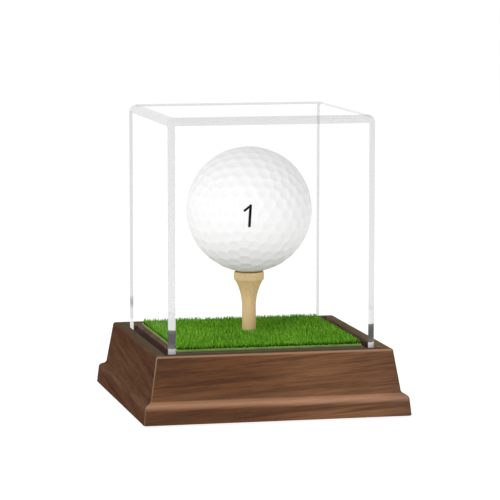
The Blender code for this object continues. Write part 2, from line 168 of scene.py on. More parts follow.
# Camera, fitted to the corners of the base and cover and to the ball's outline. Angles are in degrees.
CAMERA_AZIMUTH = -12.85
CAMERA_ELEVATION = 6.91
CAMERA_ROLL = 0.04
CAMERA_DISTANCE = 954.5 * MM
CAMERA_AIM_HEIGHT = 51.4 * MM
CAMERA_AIM_RIGHT = 0.35 * MM
CAMERA_LENS = 203.0
CAMERA_SENSOR = 36.0

# Surroundings
FLOOR_SIZE = 6.0
FLOOR_COLOUR = (0.80, 0.80, 0.80, 1.0)
FLOOR_SHADOW_COLOUR = (0.30, 0.30, 0.30, 1.0)
FLOOR_DROP = 0.02 * MM
FLOOR_GLOW = 0.892
FLOOR_BOUNCE = 0.80
WORLD_STRENGTH = 0.38
LAMPS = (  # name, azimuth, elevation, distance, size, watts
    ("key", -44, 9, 1.2, 0.12, 2.15),
    ("top", -45, 65, 1.2, 1.0, 7.0),
    ("right", 50, 8, 1.2, 0.3, 1.0),
)


def add_object(name, data):
    """A new object in the scene."""
    holder = bpy.data.objects.new(name, data)
    bpy.context.scene.collection.objects.link(holder)
    return holder


def direction(azimuth, elevation):
    """The way from the case to an azimuth and elevation. The front is at azimuth 0, the right at 90."""
    turn, rise = math.radians(azimuth), math.radians(elevation)
    return Vector((math.sin(turn) * math.cos(rise), -math.cos(turn) * math.cos(rise), math.sin(rise)))


def mesh_object(name, points, faces, material):
    """A welded mesh with outward faces, as a piece that sits at the origin."""
    mesh = bpy.data.meshes.new(name)
    mesh.from_pydata(np.asarray(points, float).tolist(), [], [list(face) for face in faces])
    bm = bmesh.new()
    bm.from_mesh(mesh)
    bmesh.ops.remove_doubles(bm, verts=bm.verts, dist=WELD)
    bmesh.ops.recalc_face_normals(bm, faces=bm.faces)
    bm.to_mesh(mesh)
    bm.free()
    mesh.materials.append(material)
    return add_object(name, mesh)


def spots(mesh):
    """The mesh's vertices as rows."""
    return np.array([vert.co for vert in mesh.vertices])


def face_values(mesh, label):
    """A vector of each face of the mesh, such as its centre or normal, as rows."""
    values = np.empty(3 * len(mesh.polygons))
    mesh.polygons.foreach_get(label, values)
    return values.reshape(-1, 3)


def set_attribute(mesh, label, domain, values):
    """Stores one number for each point or face of the mesh."""
    attribute = mesh.attributes.new(label, "FLOAT", domain)
    attribute.data.foreach_set("value", values.astype(np.float32))


def smooth(piece, angle=40, weighted=True):
    """Smooth shading with sharp edges kept; broad flat faces keep their own direction."""
    piece.data.shade_smooth()
    piece.data.set_sharp_from_angle(angle=math.radians(angle))
    if weighted:
        modifier = piece.modifiers.new("broad_faces_first", "WEIGHTED_NORMAL")
        modifier.weight = 100
        modifier.keep_sharp = True
    return piece


def place(piece, body, slot, *replaced):
    """Rides the piece on its body and hides the nodes that it stands for. slot, the finish's name, is not
    used.
    """
    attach(piece, body)
    if replaced:
        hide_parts(*replaced)


def grid_quads(rings, count):
    """Four-cornered faces between neighbouring points of rings that lie one after the other."""
    ring, point = np.divmod(np.arange((rings - 1) * count), count)
    here, beside = ring * count + point, ring * count + (point + 1) % count
    return np.stack([here, beside, beside + count, here + count], axis=1)


def skinned(name, rings, material):
    """A piece whose faces join rings of equally many points, with one face over each end."""
    count, last = len(rings[0]), len(rings) - 1
    faces = grid_quads(len(rings), count).tolist()
    faces += [list(range(count)), list(range(last * count, (last + 1) * count))]
    return mesh_object(name, np.vstack(rings), faces, material)


def at_height(flat, height):
    """Points in a level plane."""
    return np.column_stack([flat, np.full(len(flat), height)])


def around(angle):
    """The point at each angle on a circle of radius one."""
    return np.column_stack([np.cos(angle), np.sin(angle)])


def arc(centre, radius, start, end, pieces):
    """Points at equal angles (in degrees) along a circular arc, both ends included."""
    return centre + radius * around(np.radians(np.linspace(start, end, pieces + 1)))


# Materials


class Tree:
    """Short calls for building a node tree."""

    def __init__(self, tree):
        self.tree = tree

    def fill(self, node, inputs):
        """Links or sets a node's inputs, given by name or number."""
        for name, value in inputs.items():
            if isinstance(value, bpy.types.NodeSocket):
                self.tree.links.new(value, node.inputs[name])
            else:
                node.inputs[name].default_value = value
        return node

    def add(self, kind, inputs=None, **settings):
        """Adds a node, sets what it is told and fills its inputs."""
        node = self.tree.nodes.new(kind)
        for name, value in settings.items():
            setattr(node, name, value)
        return self.fill(node, inputs or {})

    def math(self, operation, first, second=0.0):
        """The result of one sum."""
        return self.add("ShaderNodeMath", {0: first, 1: second}, operation=operation).outputs[0]

    def plus(self, first, second):
        """Both numbers together."""
        return self.math("ADD", first, second)

    def minus(self, first, second):
        """The first number less the second."""
        return self.math("SUBTRACT", first, second)

    def times(self, first, second):
        """One number times the other."""
        return self.math("MULTIPLY", first, second)

    def larger(self, first, second):
        """The larger number of two."""
        return self.math("MAXIMUM", first, second)

    def vector(self, operation, first, second):
        """The result of one sum with vectors, which for a product or a distance is a number."""
        outputs = self.add("ShaderNodeVectorMath", {0: first, 1: second}, operation=operation).outputs
        return outputs["Value" if operation in ("DOT_PRODUCT", "DISTANCE") else "Vector"]

    def scaled(self, vector, gain):
        """A vector or a colour times a number."""
        return self.add("ShaderNodeVectorMath", {0: vector, "Scale": gain}, operation="SCALE").outputs[0]

    def blend(self, factor, first, second, mode="MIX"):
        """A colour between two others."""
        inputs = {0: factor}
        for number, colour in ((6, first), (7, second)):
            inputs[number] = colour if isinstance(colour, bpy.types.NodeSocket) else (*colour, 1.0)
        return self.add("ShaderNodeMix", inputs, data_type="RGBA", blend_type=mode).outputs[2]

    def spread(self, value, low, high, new_low=0.0, new_high=1.0, kind="SMOOTHSTEP"):
        """A value taken from one range to another."""
        inputs = {"Value": value, "From Min": low, "From Max": high, "To Min": new_low, "To Max": new_high}
        return self.add("ShaderNodeMapRange", inputs, interpolation_type=kind).outputs[0]

    def between(self, mask, low, high):
        """A number that goes from low to high as the mask goes from 0 to 1."""
        return self.spread(mask, 0.0, 1.0, low, high, "LINEAR")

    def noise(self, vector, scale, detail=2.0, roughness=0.5, distortion=0.0):
        """Fractal noise around one half."""
        inputs = {"Vector": vector, "Scale": scale, "Detail": detail, "Roughness": roughness}
        return self.add("ShaderNodeTexNoise", {**inputs, "Distortion": distortion}).outputs[0]

    def grain_noise(self, vector, along, across, *settings):
        """Noise drawn out along X: about so many waves to the metre along it and across it."""
        return self.noise(self.vector("MULTIPLY", vector, (along, across, across)), 1.0, *settings)

    def coordinates(self):
        """Object coordinates."""
        return self.add("ShaderNodeTexCoord").outputs["Object"]

    def turned(self, vector, turn, shift=(0.0, 0.0, 0.0)):
        """A vector turned and shifted."""
        inputs = {"Vector": vector, "Rotation": turn, "Location": shift}
        return self.add("ShaderNodeMapping", inputs).outputs[0]

    def apart(self, vector):
        """A vector's three numbers."""
        return self.add("ShaderNodeSeparateXYZ", {0: vector}).outputs

    def attribute(self, label):
        """A number that the mesh holds."""
        return self.add("ShaderNodeAttribute", attribute_name=label).outputs["Fac"]

    def mottle(self, vector, cloud_size, speck_size):
        """The shared mottle, with its own sizes."""
        inputs = {"Vector": vector, "Cloud Size": cloud_size, "Speck Size": speck_size}
        return self.add("ShaderNodeGroup", inputs, node_tree=MOTTLE).outputs

    def bump(self, height, strength, distance):
        """A normal from a height."""
        inputs = {"Height": height, "Strength": strength, "Distance": distance}
        return self.add("ShaderNodeBump", inputs).outputs[0]


def new_group(name, inputs, outputs):
    """A shared effect, with the kind of each of its sockets: the group, its tree and its two ends."""
    group = bpy.data.node_groups.new(name, "ShaderNodeTree")
    for way, sockets in (("INPUT", inputs), ("OUTPUT", outputs)):
        for label, kind in sockets.items():
            group.interface.new_socket(label, in_out=way, socket_type="NodeSocket" + kind)
    tree = Tree(group)
    return group, tree, tree.add("NodeGroupInput").outputs, tree.add("NodeGroupOutput")


WOOD_TONES = ("Light", "Middle", "Dark")
WOOD_MARKS = ("Ring Width", "Ring Contrast", "Streaks", "Pores", "Fibres")


def wood_figure_group():
    """Straight-grained wood along the vector's X: growth rings around a far pith, broad tone changes,
    dark pore dashes and fine fibres. Distances in the vector are in metres."""
    inputs = {"Vector": "Vector", **dict.fromkeys(WOOD_TONES, "Color"), **dict.fromkeys(WOOD_MARKS, "Float")}
    group, tree, given, out = new_group("wood_figure", inputs, {"Color": "Color", "Height": "Float"})
    vector = given["Vector"]
    # The rings wander slowly along the grain.
    wander = tree.grain_noise(vector, 14.0, 60.0, 3.0, 0.55)
    drift = tree.grain_noise(vector, 60.0, 420.0, 2.0, 0.5)
    apart = tree.apart(vector)
    pith_y = tree.plus(apart[1], 0.021)
    pith_z = tree.plus(apart[2], 0.034)
    reach = tree.math("SQRT", tree.plus(tree.times(pith_y, pith_y), tree.times(pith_z, pith_z)))
    reach = tree.plus(reach, tree.times(wander, 0.0065))
    reach = tree.plus(reach, tree.times(drift, 0.0009))
    turns = tree.math("DIVIDE", reach, given["Ring Width"])
    phase = tree.math("FRACT", turns)
    # Each ring darkens slowly and ends sharply, and no two are equally dark.
    ring = tree.times(tree.spread(phase, 0.25, 0.97), tree.spread(phase, 1.0, 0.96))
    number = tree.math("FLOOR", turns)
    uneven = tree.add("ShaderNodeTexWhiteNoise", {"W": number}, noise_dimensions="1D").outputs[0]
    ring = tree.times(tree.times(ring, tree.between(uneven, 0.25, 1.0)), given["Ring Contrast"])
    broad = tree.grain_noise(vector, 9.0, 150.0, 3.0, 0.6)
    tone = tree.blend(tree.spread(broad, 0.30, 0.70), given["Light"], given["Middle"])
    tone = tree.blend(ring, tone, given["Dark"])
    # Long streaks lie close together along the grain.
    streak = tree.grain_noise(vector, 22.0, 750.0, 4.0, 0.65, 0.2)
    tone = tree.blend(tree.spread(streak, 0.43, 0.66, 0.0, given["Streaks"]), tone, given["Dark"])
    # Pores are short dashes that lie along the grain.
    pore = tree.spread(tree.grain_noise(vector, 330.0, 5200.0, 1.0, 0.5), 0.60, 0.70)
    patchy = tree.spread(tree.grain_noise(vector, 50.0, 500.0), 0.35, 0.65, 0.3, 1.0)
    pore = tree.times(tree.times(pore, patchy), given["Pores"])
    tone = tree.blend(pore, tone, given["Dark"])
    fibre = tree.grain_noise(vector, 120.0, 2400.0, 4.0, 0.65)
    shade = tree.spread(fibre, 0.3, 0.7, -0.5, 0.5, "LINEAR")
    colour = tree.scaled(tone, tree.plus(tree.times(shade, given["Fibres"]), 1.0))
    tree.fill(out, {"Color": colour, "Height": tree.minus(tree.times(fibre, 0.35), pore)})
    return group


def mottle_group():
    """Cloudy variation and fine specks for a plain finish: a mask of the clouds, and a height."""
    inputs = {"Vector": "Vector", "Cloud Size": "Float", "Speck Size": "Float"}
    group, tree, given, out = new_group("mottle", inputs, {"Cloud": "Float", "Height": "Float"})
    cloud = tree.noise(given["Vector"], tree.math("DIVIDE", 1.0, given["Cloud Size"]), 3.0, 0.55)
    fine = tree.noise(given["Vector"], tree.math("DIVIDE", 1.0, given["Speck Size"]), 2.0, 0.6)
    tree.fill(out, {"Cloud": tree.spread(cloud, 0.3, 0.7), "Height": fine})
    return group


WOOD_FIGURE = wood_figure_group()
MOTTLE = mottle_group()


def new_material(name):
    """An empty material with a Principled shader: the material, its tree and the shader."""
    material = bpy.data.materials.new(name)
    material.use_nodes = True
    return material, Tree(material.node_tree), material.node_tree.nodes["Principled BSDF"]


def reopened(material):
    """The tree and the shader of a finished material, and what its base colour comes from."""
    shader = material.node_tree.nodes["Principled BSDF"]
    return Tree(material.node_tree), shader, shader.inputs["Base Color"].links[0].from_socket


def show_mix(tree, material, share, first, second):
    """Makes the surface show a mix of two shaders."""
    mixed = tree.add("ShaderNodeMixShader", {0: share, 1: first, 2: second}).outputs[0]
    tree.fill(material.node_tree.nodes["Material Output"], {"Surface": mixed})


def wood_material(name, tones, turn, shift, rings, marks, roughness, gloss, tilt=0.0):
    """Oiled or bare wood, with its grain along X once it is turned. tones are light, middle and dark, rings
    are their width and contrast, and marks are the strengths of streaks, pores and fibres. tilt turns the
    grain out of the piece's length."""
    material, tree, shader = new_material(name)
    inputs = {"Vector": tree.turned(tree.turned(tree.coordinates(), turn, shift), (0.0, tilt, 0.0))}
    inputs.update(zip(WOOD_TONES, ((*tone, 1.0) for tone in tones)))
    inputs.update(zip(WOOD_MARKS, (*rings, *marks)))
    figure = tree.add("ShaderNodeGroup", inputs, node_tree=WOOD_FIGURE).outputs
    rough = tree.spread(figure["Height"], -0.4, 0.4, roughness + 0.1, roughness - 0.05, "LINEAR")
    normal = tree.bump(figure["Height"], 0.35, 0.06 * MM)
    # The oil shines where it faces the eye and stays dull at a low angle.
    away = tree.add("ShaderNodeLayerWeight").outputs["Facing"]
    shine = tree.spread(away, 0.0, 0.7, gloss, 0.0, "LINEAR")
    tree.fill(shader, {"Base Color": figure["Color"], "Roughness": rough, "Specular IOR Level": shine})
    tree.fill(shader, {"Normal": normal})
    return material


# Tones are light, middle and dark. Tints, tilts, streaks and shares are for the right, back, left and
# front.
WALNUT_TONES = ((0.193, 0.084, 0.0342), (0.135, 0.055, 0.0224), (0.044, 0.0165, 0.0070))
# The left moulding's tint is painted shade, darker and greyer; the right one's is its own tone of board.
WALNUT_TINTS_AND_SHADE = ((0.85, 0.85, 0.85), (1.0, 1.0, 1.0), (0.63, 0.70, 0.97), (1.0, 1.0, 1.0))
WALNUT_TILTS = (3, -3, -6.5, 4)
WALNUT_STREAKS = (0.5, 0.5, 0.48, 0.62)
# Shares of the painted highlight on the nose and the rim's arris, for each side.
WALNUT_HIGHLIGHT_SHARES = (0.6, 1.0, 0.14, 1.0)
DARK_END_SHARES = (0.0, 0.0, 0.0, 1.0)
# Shares of the rim top's painted grey of shade and sheen, for each side.
RIM_SHARES = (2.3, 1.0, 1.45, 1.0)
PLATFORM_TONES = ((0.219, 0.128, 0.105), (0.171, 0.095, 0.076), (0.076, 0.040, 0.032))
BEECH_TONES = ((0.95, 0.700, 0.372), (0.94, 0.680, 0.350), (0.78, 0.54, 0.26))

# Marks and painted light on the walnut: a painted highlight on the nose, the hollow above it and the rim's
# arris, a painted grey of shade and sheen on the rim's top, the ends, the groove with its painted shade, and
# the mitres
WALNUT_PAINTED_HIGHLIGHT = (0.455, 0.275, 0.174)
HIGHLIGHT_MIX = 0.55
NOSE_HIGHLIGHT_GAIN = 3.2
NOSE_HIGHLIGHT_SHARE = 0.95
NOSE_RISE = (4.85 * MM, 7.1 * MM)
NOSE_FALL = (8.25 * MM, 7.55 * MM)
COVE_FALL = (13.0 * MM, NOSE_FALL[0])
COVE_SHARE = 0.10
ARRIS_REACHES = (BASE_HALF - 5.9 * MM, BASE_HALF - 5.4 * MM)
ARRIS_HEIGHTS = (21.5 * MM, 22.0 * MM)
ARRIS_TOPS = (RIM_TOP, RIM_TOP - 0.15 * MM)
ARRIS_SHARE = 0.55
RIM_PAINTED_GREY = (0.093, 0.075, 0.048)
RIM_SHADE_SHEEN_HEIGHTS = (22.25 * MM, RIM_TOP - 0.02 * MM)
RIM_SHADE_SHEEN_SHARE = 0.6
DARK_END_FROM = 13 * MM
DARK_END_TONE = (0.66, 0.57, 0.41)
RIGHT_END_FROM = 31 * MM
RIGHT_END_TONE = (0.72, 0.72, 0.80)
GROOVE_WOOD = (0.30, 0.205, 0.15)
GROOVE_PAINTED_SHADE = (0.15, 0.10, 0.085)
GROOVE_REACHES = (GROOVE_OUTER_HALF + 0.12 * MM, GROOVE_OUTER_HALF + 0.02 * MM)
GROOVE_HEIGHTS = (21.0 * MM, 21.5 * MM)
GROOVE_SHARE = 0.85
MITRE_HIGHLIGHT = (0.52, 0.36, 0.26)
MITRE_DARK = (0.060, 0.045, 0.036)
MITRE_SHARES = (0.18, 0.6)


def walnut_material(index):
    """Walnut whose grain runs along one moulding; each moulding is a different stretch of the board. The
    left one's tint is painted shade, and each side has its own share of painted highlight and rim grey.
    """
    # The moulding at index 0 runs along Y, and each next one is a quarter turn on.
    turn = (0.0, 0.0, -(index + 1) * RIGHT_ANGLE)
    shift = (0.31 * index, 0.002 * index, 0.004 * index)
    tones = [tuple(part * tint for part, tint in zip(tone, WALNUT_TINTS_AND_SHADE[index])) for tone in WALNUT_TONES]
    tilt = math.radians(WALNUT_TILTS[index])
    marks = (WALNUT_STREAKS[index], 0.4, 0.5)
    figure = wood_material(f"walnut_{index}", tones, turn, shift, (0.0026, 0.22), marks, 0.45, 0.2, tilt)
    return walnut_marks_and_painted_light(figure, WALNUT_HIGHLIGHT_SHARES[index], DARK_END_SHARES[index], RIM_SHARES[index])


def walnut_marks_and_painted_light(material, highlight_share, dark_end, rim_share):
    """Painted light and marks on the walnut: a painted highlight on the nose and on the rim's outer arris,
    and a painted grey of shade and sheen on the rim's flat top. The mitres show a fine line, a painted
    highlight at the left and dark at the right. The groove's walls are bare wood, painted darker deep down
    as shade. The front board darkens towards its left and at its right end."""
    tree, shader, colour = reopened(material)
    apart = tree.apart(tree.coordinates())
    height = apart[2]
    darker = tree.spread(apart[0], DARK_END_FROM, -DARK_END_FROM, 0.0, dark_end)
    colour = tree.blend(darker, colour, DARK_END_TONE, "MULTIPLY")
    # The nose and the hollow above it carry a painted highlight.
    fall = tree.larger(tree.spread(height, *NOSE_FALL), tree.spread(height, *COVE_FALL, 0.0, COVE_SHARE))
    nose = tree.times(tree.times(tree.spread(height, *NOSE_RISE), fall), NOSE_HIGHLIGHT_SHARE * highlight_share)
    colour = tree.blend(nose, colour, tree.blend(HIGHLIGHT_MIX, tree.scaled(colour, NOSE_HIGHLIGHT_GAIN), WALNUT_PAINTED_HIGHLIGHT))
    right_end = tree.spread(apart[0], RIGHT_END_FROM, BASE_HALF, 0.0, dark_end)
    colour = tree.blend(right_end, colour, RIGHT_END_TONE, "MULTIPLY")
    reach = tree.larger(tree.math("ABSOLUTE", apart[0]), tree.math("ABSOLUTE", apart[1]))
    # The rim's outer arris carries a painted highlight.
    arris = tree.times(tree.spread(reach, *ARRIS_REACHES), tree.spread(height, *ARRIS_HEIGHTS))
    arris = tree.times(arris, tree.spread(height, *ARRIS_TOPS, 0.0, ARRIS_SHARE * highlight_share))
    colour = tree.blend(arris, colour, WALNUT_PAINTED_HIGHLIGHT)
    # The rim's flat top is painted darker and greyer, as shade and sheen.
    rim_shade_sheen = tree.spread(height, *RIM_SHADE_SHEEN_HEIGHTS, 0.0, RIM_SHADE_SHEEN_SHARE)
    colour = tree.blend(rim_shade_sheen, colour, tuple(rim_share * part for part in RIM_PAINTED_GREY))
    # The groove's walls are bare wood, painted darker deep down as shade.
    wall = tree.blend(tree.spread(height, *GROOVE_HEIGHTS), GROOVE_PAINTED_SHADE, GROOVE_WOOD)
    colour = tree.blend(tree.times(tree.spread(reach, *GROOVE_REACHES), GROOVE_SHARE), colour, wall)
    # The mitre line is a painted highlight at the left, and dark at the right.
    line = tree.spread(height, NOSE_RISE[0], RIM_TOP, *MITRE_SHARES, "LINEAR")
    edge = tree.blend(tree.math("GREATER_THAN", apart[0], 0.0), MITRE_HIGHLIGHT, MITRE_DARK)
    colour = tree.blend(tree.times(tree.attribute("eased"), line), colour, edge)
    tree.fill(shader, {"Base Color": colour})
    return material


BLADE_GREENS = ((0.053, 0.197, 0.005), (0.155, 0.448, 0.0155), (0.386, 0.825, 0.075))
BLADE_TIP = (0.42, 0.86, 0.100)
BLADE_TIP_MIX = 0.35
BACKING_GREEN = (0.26, 0.42, 0.105)


def blade_material():
    """Green that grows paler from the root to the tip, with each blade a shade of its own. The darkening
    towards the root is painted shade among the blades.
    """
    material, tree, shader = new_material("turf_green")
    along = tree.attribute("along")
    ramp = tree.add("ShaderNodeValToRGB", {0: tree.attribute("shade")})
    ends = ramp.color_ramp.elements
    ends[0].color, ends[1].color = (*BLADE_GREENS[0], 1.0), (*BLADE_GREENS[2], 1.0)
    ends.new(0.5).color = (*BLADE_GREENS[1], 1.0)
    own = ramp.outputs[0]
    mixed = tree.blend(BLADE_TIP_MIX, own, tree.blend(tree.spread(along, 0.25, 1.0), own, BLADE_TIP))
    # Painted shade: each blade darkens towards its root.
    colour = tree.scaled(mixed, tree.spread(along, 0.1, 0.72, 0.18, 1.03))
    cloud = tree.mottle(tree.coordinates(), 0.006, 0.0003)
    rough = tree.between(cloud["Cloud"], 0.44, 0.56)
    tree.fill(shader, {"Base Color": colour, "Roughness": rough, "Specular IOR Level": 0.0})
    return material


def backing_material():
    """Light green backing with a fine woven surface."""
    material, tree, shader = new_material("turf_backing")
    vector = tree.coordinates()
    cloud = tree.mottle(vector, 0.004, 0.0004)
    threads = {"Vector": vector, "Scale": 420.0, "Distortion": 0.6}
    along = tree.add("ShaderNodeTexWave", threads, bands_direction="X")
    across = tree.add("ShaderNodeTexWave", threads, bands_direction="Y")
    weave = tree.times(along.outputs[1], across.outputs[1])
    darker, paler = (tuple(gain * part for part in BACKING_GREEN) for gain in (0.72, 1.25))
    colour = tree.blend(cloud["Cloud"], BACKING_GREEN, darker)
    colour = tree.blend(tree.times(weave, 0.25), colour, paler)
    normal = tree.bump(tree.plus(weave, cloud["Height"]), 0.4, 0.05 * MM)
    finish = {"Base Color": colour, "Roughness": 0.75, "Normal": normal, "Specular IOR Level": 0.15}
    tree.fill(shader, finish)
    return material


BALL_WHITE = (0.876, 0.867, 0.871)
BALL_WARM_WHITE = (0.861, 0.853, 0.856)
BALL_DIMPLE_SHADE = (0.836, 0.828, 0.836)
DIMPLE_SHADE_SHARE = 0.6
NUMERAL_BLACK = (0.006, 0.006, 0.007)


def ball_material():
    """White lacquer with a soft shine, painted a little darker in the dimples as shade, and a black numeral
    one in front.
    """
    material, tree, shader = new_material("ball_white")
    coordinates = tree.coordinates()
    cloud = tree.mottle(coordinates, 0.009, 0.0004)
    white = tree.blend(cloud["Cloud"], BALL_WHITE, BALL_WARM_WHITE)
    # The dimples are painted darker by their depth, as shade.
    white = tree.blend(tree.times(tree.attribute("dimple"), DIMPLE_SHADE_SHARE), white, BALL_DIMPLE_SHADE)
    colour = tree.blend(numeral_mask(tree, coordinates), white, NUMERAL_BLACK)
    rough = tree.between(cloud["Cloud"], 0.40, 0.50)
    normal = tree.bump(cloud["Height"], 0.05, 0.02 * MM)
    finish = {"Base Color": colour, "Roughness": rough, "Normal": normal, "Specular IOR Level": 0.1}
    tree.fill(shader, finish)
    return material


def numeral_mask(tree, coordinates):
    """One where a point on the ball's front lies within a stroke of the numeral: the distance from a point
    to a stroke is that to the nearest point between its two ends."""
    centred = tree.vector("ADD", coordinates, (0.0, 0.0, -BALL_MIDDLE))
    across = tree.vector("DOT_PRODUCT", centred, direction(CAMERA_AZIMUTH + 90, 0))
    facing = tree.vector("DOT_PRODUCT", centred, direction(CAMERA_AZIMUTH, 0))
    flat = tree.add("ShaderNodeCombineXYZ", {0: across, 1: tree.apart(centred)[2]}).outputs[0]
    ink = 0.0
    for start, end, half_width in NUMERAL_STROKES:
        whole = Vector((end[0] - start[0], end[1] - start[1], 0.0))
        from_start = tree.vector("SUBTRACT", flat, (*start, 0.0))
        along = tree.vector("DOT_PRODUCT", from_start, whole.normalized())
        held = tree.math("MINIMUM", tree.larger(along, 0.0), whole.length)
        apart = tree.vector("DISTANCE", from_start, tree.scaled(whole.normalized(), held))
        ink = tree.larger(ink, tree.spread(apart, half_width + NUMERAL_BLUR, half_width - NUMERAL_BLUR))
    return tree.times(ink, tree.math("GREATER_THAN", facing, 0.0))


# The cover's finishes. A film is the share of an edge that shows its painted grey reflection; the rest is
# seen through.
PANE_SHINE = 0.015
EDGE_FILM = 0.385
PALE_FILM = 0.93
DARK_FILM = 0.985
DARK_PATCH_FILM = 0.63
EDGE_REFLECTION_GREY = (0.322, 0.322, 0.327)
FOOT_REFLECTION_GREYS = ((0.69, 0.68, 0.69), (0.97, 0.96, 0.97))
BASE_REFLECTION_GREYS = ((0.101, 0.088, 0.103), (0.200, 0.185, 0.183))
DARK_RIGHT_TINT = (0.98, 1.02, 0.80)
DARK_FROM = 23.95 * MM
DARK_FADED = DARK_FROM + 2.5 * MM
DARK_TO = 30.05 * MM
DARK_RISES = DARK_TO - 1.5 * MM
DARK_RISE = 0.7
PALE_REFLECTION_GREY = (0.76, 0.76, 0.765)
PALE_LEFT_TINT = (0.88, 0.875, 0.885)
PALE_HEIGHTS = (37.0 * MM, 34.0 * MM)
BACK_PALE_HEIGHTS = (24.8 * MM, 24.1 * MM)
BACK_FOOT_PAINTED_GLOW = (0.62, 0.62, 0.62)
DARK_PATCH_AT = 30.0 * MM
DARK_PATCH_REACHES = (2.9 * MM, 0.4 * MM)
DARK_PATCH_REFLECTION = (0.12, 0.12, 0.125)


def acrylic_material():
    """Clear acrylic walls: light goes straight through, and they shine faintly when seen at a low angle."""
    material, tree, shader = new_material("clear_acrylic")
    cloud = tree.mottle(tree.coordinates(), 0.02, 0.0006)
    rough = tree.between(cloud["Cloud"], 0.02, 0.05)
    tree.fill(shader, {"Base Color": (1.0, 1.0, 1.0, 1.0), "Roughness": rough, "Metallic": 1.0})
    mirrored = tree.add("ShaderNodeFresnel", {"IOR": 1.49}).outputs[0]
    let_light_through(tree, material, shader, tree.times(mirrored, PANE_SHINE))
    return material


def acrylic_edge_material():
    """The rounded edges of the acrylic, which carry a flat grey, a painted reflection. Just above the rim
    the front ones carry a painted reflection of the dark base, and below that a painted pale reflection of
    their own sawn foot."""
    material, tree, shader = new_material("acrylic_edge")
    coordinates = tree.coordinates()
    apart = tree.apart(coordinates)
    height = apart[2]
    cloud = tree.mottle(coordinates, 0.003, 0.0003)
    left = tree.math("LESS_THAN", apart[0], 0.0)
    right = tree.math("GREATER_THAN", apart[0], 0.0)
    front = tree.math("LESS_THAN", apart[1], 0.0)
    back_left = tree.times(tree.minus(1.0, front), left)
    back_foot = tree.times(back_left, tree.spread(height, *BACK_PALE_HEIGHTS))
    pale = tree.larger(tree.times(front, tree.spread(height, *PALE_HEIGHTS)), back_foot)
    # The pale grey high on the front edges and on the back-left foot is a painted reflection.
    colour = tree.blend(pale, EDGE_REFLECTION_GREY, tree.blend(left, PALE_REFLECTION_GREY, PALE_LEFT_TINT, "MULTIPLY"))
    # A dark patch on the back-left edge is a painted reflection.
    from_dark_patch = tree.math("ABSOLUTE", tree.minus(height, DARK_PATCH_AT))
    dark_patch = tree.times(back_left, tree.spread(from_dark_patch, *DARK_PATCH_REACHES))
    colour = tree.blend(dark_patch, colour, DARK_PATCH_REFLECTION)
    # Just above the rim the front edges carry a painted reflection of the dark base, and below that a
    # painted pale reflection of their foot.
    fade = tree.spread(height, DARK_FROM, DARK_FADED, 1.0, 0.0)
    rise = tree.spread(height, DARK_RISES, DARK_TO, 0.0, DARK_RISE)
    dark = tree.blend(right, tree.blend(tree.larger(fade, rise), *BASE_REFLECTION_GREYS), DARK_RIGHT_TINT, "MULTIPLY")
    low = tree.times(front, tree.math("LESS_THAN", height, DARK_TO))
    colour = tree.blend(low, colour, dark)
    foot = tree.times(front, tree.math("LESS_THAN", height, DARK_FROM))
    colour = tree.blend(foot, colour, tree.blend(right, *FOOT_REFLECTION_GREYS))
    film = tree.larger(tree.between(pale, EDGE_FILM, PALE_FILM), tree.times(low, DARK_FILM))
    film = tree.larger(film, tree.between(dark_patch, EDGE_FILM, DARK_PATCH_FILM))
    # From inside the wall, only part of a far edge shows the painted grey.
    inside = tree.add("ShaderNodeNewGeometry").outputs["Backfacing"]
    shown = tree.larger(tree.minus(1.0, inside), tree.attribute("shown_from_inside"))
    rough = tree.between(cloud["Cloud"], 0.12, 0.2)
    tree.fill(shader, {"Base Color": colour, "Roughness": rough, "Specular IOR Level": 0.1})
    # The back foot glows with painted light, which stands in for light from the groove's far side.
    glow = tree.blend(back_foot, (0.0, 0.0, 0.0), BACK_FOOT_PAINTED_GLOW)
    tree.fill(shader, {"Emission Color": glow, "Emission Strength": 1.0})
    let_light_through(tree, material, shader, tree.times(film, shown))
    return material


def let_light_through(tree, material, shader, share):
    """Mixes in a clear shader, so that only a share of what is seen comes from the surface itself. Light
    from the lamps and the surroundings goes straight through."""
    rays = tree.add("ShaderNodeLightPath").outputs
    light = tree.larger(rays["Is Shadow Ray"], rays["Is Diffuse Ray"])
    seen = tree.times(tree.minus(1.0, light), share)
    clear = tree.add("ShaderNodeBsdfTransparent").outputs[0]
    show_mix(tree, material, seen, clear, shader.outputs[0])


def plain_material(name, tone, other, roughness, metallic=0.0, sizes=(0.004, 0.0003), depth=0.03 * MM):
    """A cast, moulded or plated finish: two tones in clouds, with a fine uneven surface. sizes are those of
    the clouds and the specks."""
    material, tree, shader = new_material(name)
    cloud = tree.mottle(tree.coordinates(), *sizes)
    colour = tree.blend(cloud["Cloud"], tone, other)
    rough = tree.between(cloud["Cloud"], roughness - 0.06, roughness + 0.06)
    tree.fill(shader, {"Base Color": colour, "Roughness": rough, "Metallic": metallic})
    tree.fill(shader, {"Normal": tree.bump(cloud["Height"], 0.3, depth)})
    return material


# Pieces


